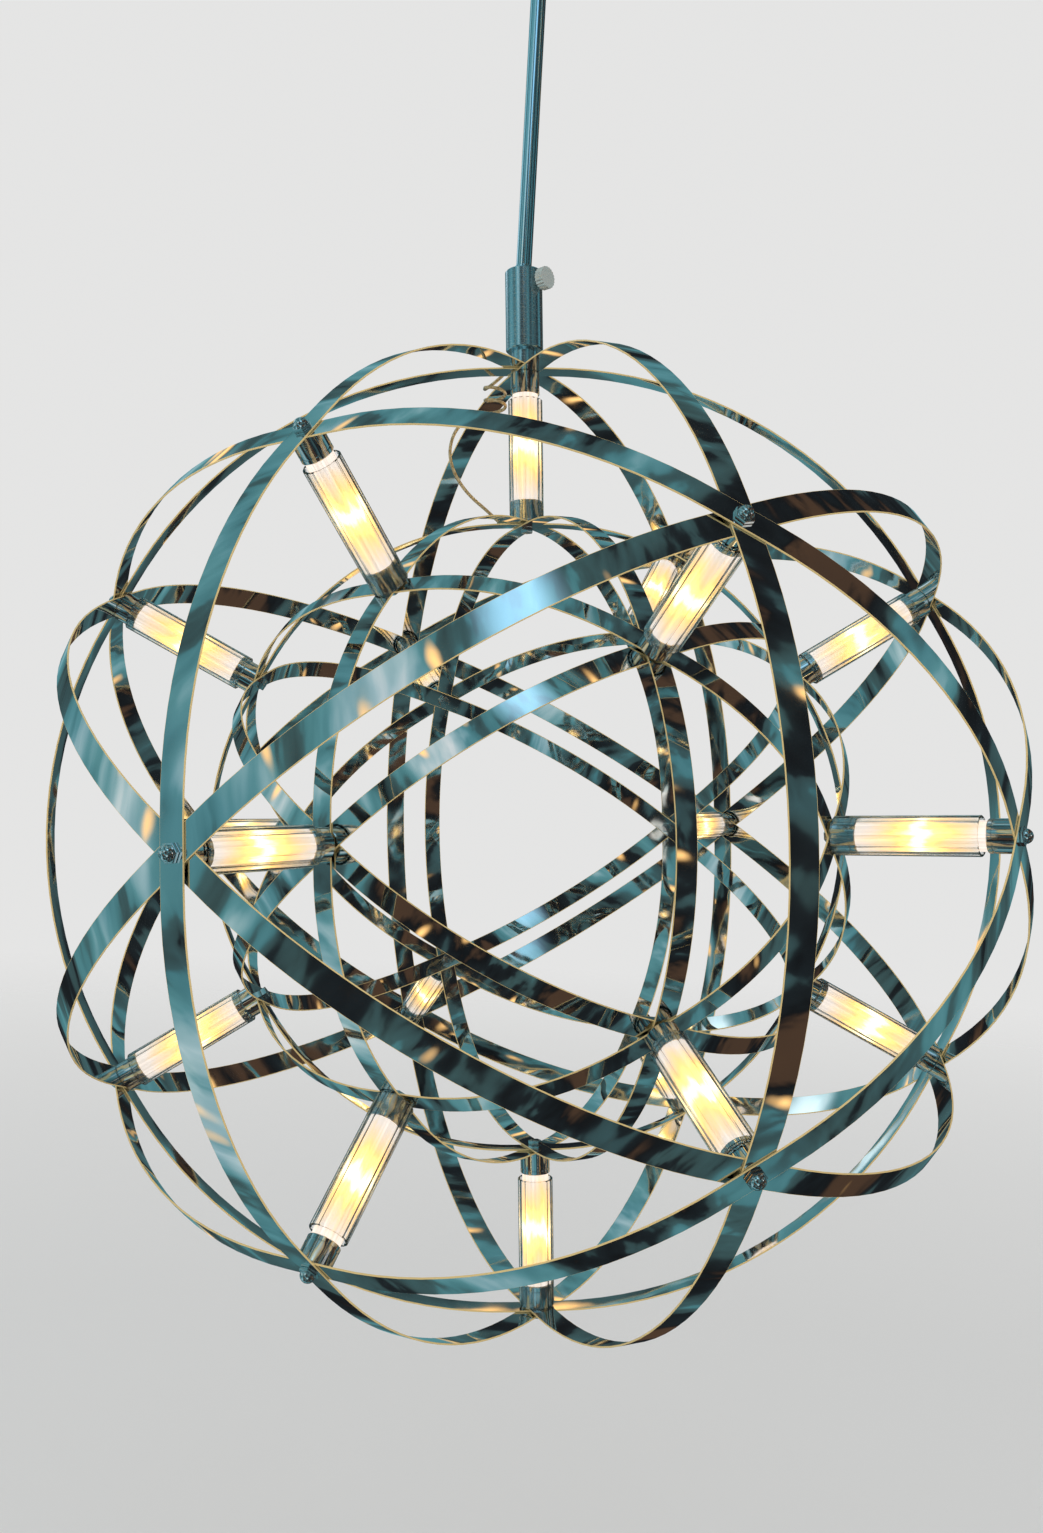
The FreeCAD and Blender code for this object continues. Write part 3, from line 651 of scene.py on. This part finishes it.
def hexagon_nut(shape, radius, bottom, top):
    """A hexagon with its corners chamfered at both faces, as a nut is turned. The radius is to a flat."""
    corner_radius = 2 * radius / math.sqrt(3)
    hexagon = bmesh.new()
    bmesh.ops.create_cone(
        hexagon, cap_ends=True, segments=6, radius1=corner_radius, radius2=corner_radius, depth=top - bottom,
        matrix=Matrix.Translation((0, 0, (top + bottom) / 2)),
    )
    flat_edges = [e for e in hexagon.edges if abs(e.verts[0].co.z - e.verts[1].co.z) < 0.01 * mm]
    rounded(hexagon, flat_edges, nut_chamfer, 2)
    placed(shape, hexagon, Matrix.Identity(4))
    hexagon.free()


polished_nut = polished("polished_nut", chrome_white, 0.07, 0.15, 0.1 * mm, 120.0)
cap_nut = bmesh.new()
hexagon_nut(cap_nut, cap_nut_radius, 0, cap_nut_hex)
crown_radius = cap_nut_radius - crown_inset
crown_rise = cap_nut_height - cap_nut_hex
crown_foot = cap_nut_hex - crown_sink
crown_base = [(0, crown_foot), (crown_radius, crown_foot)]
crown_dome = [(crown_radius * math.cos(a), cap_nut_hex + crown_rise * math.sin(a)) for a in dome_angles]
crown = bmesh.new()
lathe(crown, crown_base + crown_dome, round_sides)
placed(cap_nut, crown, Matrix.Identity(4))
crown.free()
inner_nut = bmesh.new()
hexagon_nut(inner_nut, inner_nut_radius, -inner_nut_height, 0)
cap_nuts = bmesh.new()
inner_nuts = bmesh.new()
for number, crossing in enumerate(crossings):
    is_double = number < len(double_crossings)
    if crossing.z < upright:
        seat = outer_radius - (band_thickness if is_double else 0)
        placed(cap_nuts, cap_nut, stand_on(crossing, seat))
    seat = inner_seat - band_thickness * (2 if is_double else 3)
    placed(inner_nuts, inner_nut, stand_on(crossing, seat))
cap_nut.free()
inner_nut.free()
show("cap_nuts_domed", cap_nuts, "sphere", "polished_nut", polished_nut, "outer_cap_nuts")
show("inner_nuts_dressed", inner_nuts, "sphere", "polished_nut", polished_nut, "inner_nuts")


# ---- Lead
# A thin clear-jacketed lead of copper strands. One piece runs down the stem's bore. The other leaves
# the collar's foot, hangs in nearly two loops by the topmost lamp, and ends in a soldered tag.
lead_radius = 1.05 * mm
lead_gold = (0.78, 0.58, 0.30, 1)
strand_dark = (0.50, 0.31, 0.12, 1)
strand_bright = (0.90, 0.70, 0.40, 1)
driver_reach = 17.0 * mm
turn_rise = 7.5 * mm
stem_in_collar = 28.0 * mm


def lead_curve(name, points, body, *nodes):
    """One smooth line through the lead's points, given in metres in the model's frame."""
    curve = bpy.data.curves.new(name, "CURVE")
    curve.dimensions = "3D"
    curve.bevel_depth = lead_radius
    curve.bevel_resolution = 4
    curve.resolution_u = 10
    curve.use_fill_caps = True
    spline = curve.splines.new("NURBS")
    spline.points.add(len(points) - 1)
    for control, point in zip(spline.points, points):
        control.co = (*point, 1)
    spline.order_u = 3
    spline.use_endpoint_u = True
    curve.materials.append(lead_jacket)
    piece = bpy.data.objects.new(name, curve)
    bpy.context.scene.collection.objects.link(piece)
    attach(piece, body)
    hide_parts(*nodes)
    return piece


lead_jacket, jacket_tree, jacket_shader = new_material("lead_jacket", lead_gold, 0.35, 0.22)
strands = noise(jacket_tree, "Object", 700.0, 2.0)
strand_colour = ramp(jacket_tree, strands, [(0.35, strand_dark), (0.65, strand_bright)])
jacket_tree.links.new(strand_colour, jacket_shader.inputs["Base Color"])
jacket_shader.inputs["Coat Weight"].default_value = 0.8
jacket_shader.inputs["Coat Roughness"].default_value = 0.08

lead_turn = Vector((0, 0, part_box("stem")[1].z + turn_rise))
stem_route = [
    lead_turn + Vector((0, driver_reach, 0)),
    lead_turn,
    lead_turn - Vector((0, 0, driver_reach)),
    pivot - Vector((0, 0, stem_in_collar)),
]
stem_lead = lead_curve("stem_lead_wire", stem_route, "stem", "stem_lead")

coil_radius = 6.6 * mm
coil_pitch = 8.0 * mm
coil_turns = 1.75
coil_foot = Vector((-19.4 * mm, 0, 274.0 * mm))
coil_steps = 24


def coil_point(turns):
    """A point of the loops, counted in turns down from their top, in the sphere's frame."""
    angle = math.pi + 2 * math.pi * turns
    across = Vector((coil_radius * math.cos(angle), coil_radius * math.sin(angle), 0))
    return coil_foot + across + Vector((0, 0, coil_pitch * (coil_turns - turns)))


down_the_stem = Vector((-math.sin(stem_lean), 0, -math.cos(stem_lean)))
stem_foot = Vector((0, 0, collar_top)) + down_the_stem * stem_in_collar
lead_route = [
    stem_foot + down_the_stem * 0.4 * mm,
    stem_foot + down_the_stem * 12.0 * mm,
    Vector((-2.62, 1.83, 311.80)) * mm,
    Vector((-11.31, 7.92, 301.20)) * mm,
    Vector((-19.0, 15.5, 296.5)) * mm,
    Vector((-26.0, 11.4, 290.2)) * mm,
]
lead_route += [coil_point(i / coil_steps) for i in range(int(coil_steps * coil_turns) + 1)]
lead_route += [
    Vector((-30.8, 6.6, 271.8)) * mm,
    Vector((-41.0, 2.5, 266.5)) * mm,
    Vector((-47.5, -1.0, 256.0)) * mm,
    Vector((-49.5, -2.0, 243.0)) * mm,
    Vector((-45.5, -1.5, 230.0)) * mm,
    Vector((-37.0, -1.0, 218.0)) * mm,
    Vector((-24.5, 0.0, 207.5)) * mm,
    Vector((-18.1, 0.0, 201.1)) * mm,
]
lead_route = [hang @ point for point in lead_route]
lead = lead_curve("hanging_lead", lead_route, "sphere", "feed_lead", "feed_lead_coil", "drop_lead")

tag_brass = (0.80, 0.70, 0.48, 1)
tag_edge = 0.3 * mm
tag_metal = grained("tag_metal", tag_brass, 1.0, 0.2, 0.4, 1800.0)
tag = softened("lead_tag", "lead_tag_dressed", "sphere", "tag_metal", tag_metal, tag_edge)


# ---- Setting: floor, world, lights and camera
# The lamp hangs over a plain pale floor in an even, pale studio. What its polished metal mirrors is
# made up: patches of teal, dark, brown and pale by direction, with fine lines and small warm glints.
floor_drop = 0.33
floor_radius = 9.0
floor_white = (0.86, 0.86, 0.855, 1)
fade_start = 1.0
fade_end = 4.5
pale = (0.93, 0.93, 0.925, 1)
seen_strength = 0.84
light_strength = 0.78
stand_lines = (15, 15, 3)
glint_gold = (2.0, 1.15, 0.42, 1)
floor_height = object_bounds()[0].z - floor_drop


def compared(tree, operation, vector, other):
    """How far a vector points along another, or how far it ends from a point."""
    node = tree.nodes.new("ShaderNodeVectorMath")
    node.operation = operation
    node.inputs[1].default_value = other
    tree.links.new(vector, node.inputs[0])
    return node.outputs["Value"]


def blended(tree, share, first, second):
    """One shader blended into another by a share from 0 to 1."""
    node = tree.nodes.new("ShaderNodeMixShader")
    tree.links.new(share, node.inputs["Fac"])
    tree.links.new(first, node.inputs[1])
    tree.links.new(second, node.inputs[2])
    return node.outputs["Shader"]


bpy.ops.mesh.primitive_circle_add(
    vertices=96, radius=floor_radius, fill_type="NGON", location=(0, 0, floor_height)
)
floor = bpy.context.object
floor.name = "floor"
floor_paint, floor_tree, floor_shader = new_material("floor_paint", floor_white, 0.0, 0.7)
floor_place = floor_tree.nodes.new("ShaderNodeTexCoord").outputs["Object"]
floor_rays = floor_tree.nodes.new("ShaderNodeLightPath")
floor_side = floor_tree.nodes.new("ShaderNodeNewGeometry")
floor_gone = floor_tree.nodes.new("ShaderNodeBsdfTransparent")
floor_reach = compared(floor_tree, "DISTANCE", floor_place, (0, 0, 0))
clear = spread(floor_tree, floor_reach, fade_start, fade_end, 0.0, 1.0)
clear = calculated(floor_tree, "MAXIMUM", clear, floor_rays.outputs["Is Glossy Ray"])
clear = calculated(floor_tree, "MAXIMUM", clear, floor_side.outputs["Backfacing"])
floor_seen = blended(floor_tree, clear, floor_shader.outputs["BSDF"], floor_gone.outputs["BSDF"])
floor_tree.links.new(floor_seen, floor_tree.nodes["Material Output"].inputs["Surface"])
floor.data.materials.append(floor_paint)

world = bpy.data.worlds.new("studio")
bpy.context.scene.world = world
world.use_nodes = True
sky = world.node_tree
sky_direction = sky.nodes.new("ShaderNodeTexCoord").outputs["Generated"]
window = compared(sky, "DOT_PRODUCT", sky_direction, (-0.03, -0.92, -0.39))
slope = compared(sky, "DOT_PRODUCT", sky_direction, (-0.085, 0.03, 0.01))
patches = noise(sky, "Generated", 2.3, 2.0)
lines = noise(sky, "Generated", 1.0, 3.0, stand_lines)
shade = calculated(sky, "ADD", patches, slope)
shade = calculated(sky, "ADD", shade, spread(sky, window, 0.95, 0.985, 0.0, 0.3))
shade = calculated(sky, "ADD", shade, between(sky, lines, -0.07, 0.07))
mirror_colour = ramp(
    sky,
    shade,
    [
        (0.33, (0.085, 0.05, 0.032, 1)),
        (0.38, (0.010, 0.012, 0.014, 1)),
        (0.455, (0.016, 0.022, 0.026, 1)),
        (0.475, (0.045, 0.085, 0.09, 1)),
        (0.535, (0.06, 0.13, 0.14, 1)),
        (0.56, (0.08, 0.24, 0.27, 1)),
        (0.635, (0.12, 0.33, 0.37, 1)),
        (0.67, (0.20, 0.42, 0.47, 1)),
        (0.76, (0.45, 0.65, 0.70, 1)),
        (0.88, (0.90, 0.95, 0.97, 1)),
    ],
)
glints = sky.nodes.new("ShaderNodeTexVoronoi")
glints.inputs["Scale"].default_value = 5.0
sky.links.new(sky_direction, glints.inputs["Vector"])
glint_share = spread(sky, glints.outputs["Distance"], 0.17, 0.04, 0.0, 1.0)
sky_seen = sky.nodes["Background"]
sky_light = sky.nodes.new("ShaderNodeBackground")
for node, strength in ((sky_seen, seen_strength), (sky_light, light_strength)):
    node.inputs["Color"].default_value = pale
    node.inputs["Strength"].default_value = strength
sky_mirror = sky.nodes.new("ShaderNodeBackground")
sky.links.new(mixed(sky, glint_share, mirror_colour, glint_gold), sky_mirror.inputs["Color"])
sky_rays = sky.nodes.new("ShaderNodeLightPath")
in_metal = spread(sky, sky_rays.outputs["Glossy Depth"], 0.0, 1.0, 0.0, 1.0)
sky_all = blended(sky, in_metal, sky_seen.outputs["Background"], sky_mirror.outputs["Background"])
sky_all = blended(sky, sky_rays.outputs["Is Diffuse Ray"], sky_all, sky_light.outputs["Background"])
sky.links.new(sky_all, sky.nodes["World Output"].inputs["Surface"])


def soft_edged(data):
    """Lets an area light fade towards its sides, as a real soft box does."""
    data.use_nodes = True
    tree = data.node_tree
    place = tree.nodes.new("ShaderNodeNewGeometry").outputs["Parametric"]
    from_middle = compared(tree, "DISTANCE", place, (0.5, 0.5, 0))
    fade = spread(tree, from_middle, 0.05, 0.5, 1.25, 0.0)
    fade.node.interpolation_type = "SMOOTHSTEP"
    tree.links.new(fade, tree.nodes["Emission"].inputs["Strength"])


for name, offset, size, power, colour in (
    ("key", Vector((-0.15, -1.32, 1.32)), 0.8, 1.9, (0.42, 0.73, 1.0)),
    ("fill", Vector((1.7, -0.9, 0.3)), 0.6, 1.2, (1.0, 0.97, 0.92)),
    ("rim", Vector((-1.3, 1.2, 1.1)), 0.8, 2.0, (0.80, 0.92, 1.0)),
):
    data = bpy.data.lights.new(name, "AREA")
    data.size = size
    data.energy = power
    data.color = colour
    soft_edged(data)
    light = bpy.data.objects.new(name, data)
    light.location = sphere_middle + offset
    light.rotation_euler = (-offset).to_track_quat("-Z", "Y").to_euler()
    bpy.context.scene.collection.objects.link(light)

camera_place = Vector((-20.75, -830.06, -631.35)) * mm
camera_turn = (91.747, -3.069, -2.615)
camera_data = bpy.data.cameras.new("camera")
camera_data.sensor_width = 36.0
camera_data.sensor_fit = "AUTO"
camera_data.lens = 30.49
camera = bpy.data.objects.new("camera", camera_data)
camera.location = camera_place
camera.rotation_euler = [math.radians(angle) for angle in camera_turn]
bpy.context.scene.collection.objects.link(camera)
bpy.context.scene.camera = camera
bpy.context.scene.view_settings.view_transform = "Standard"
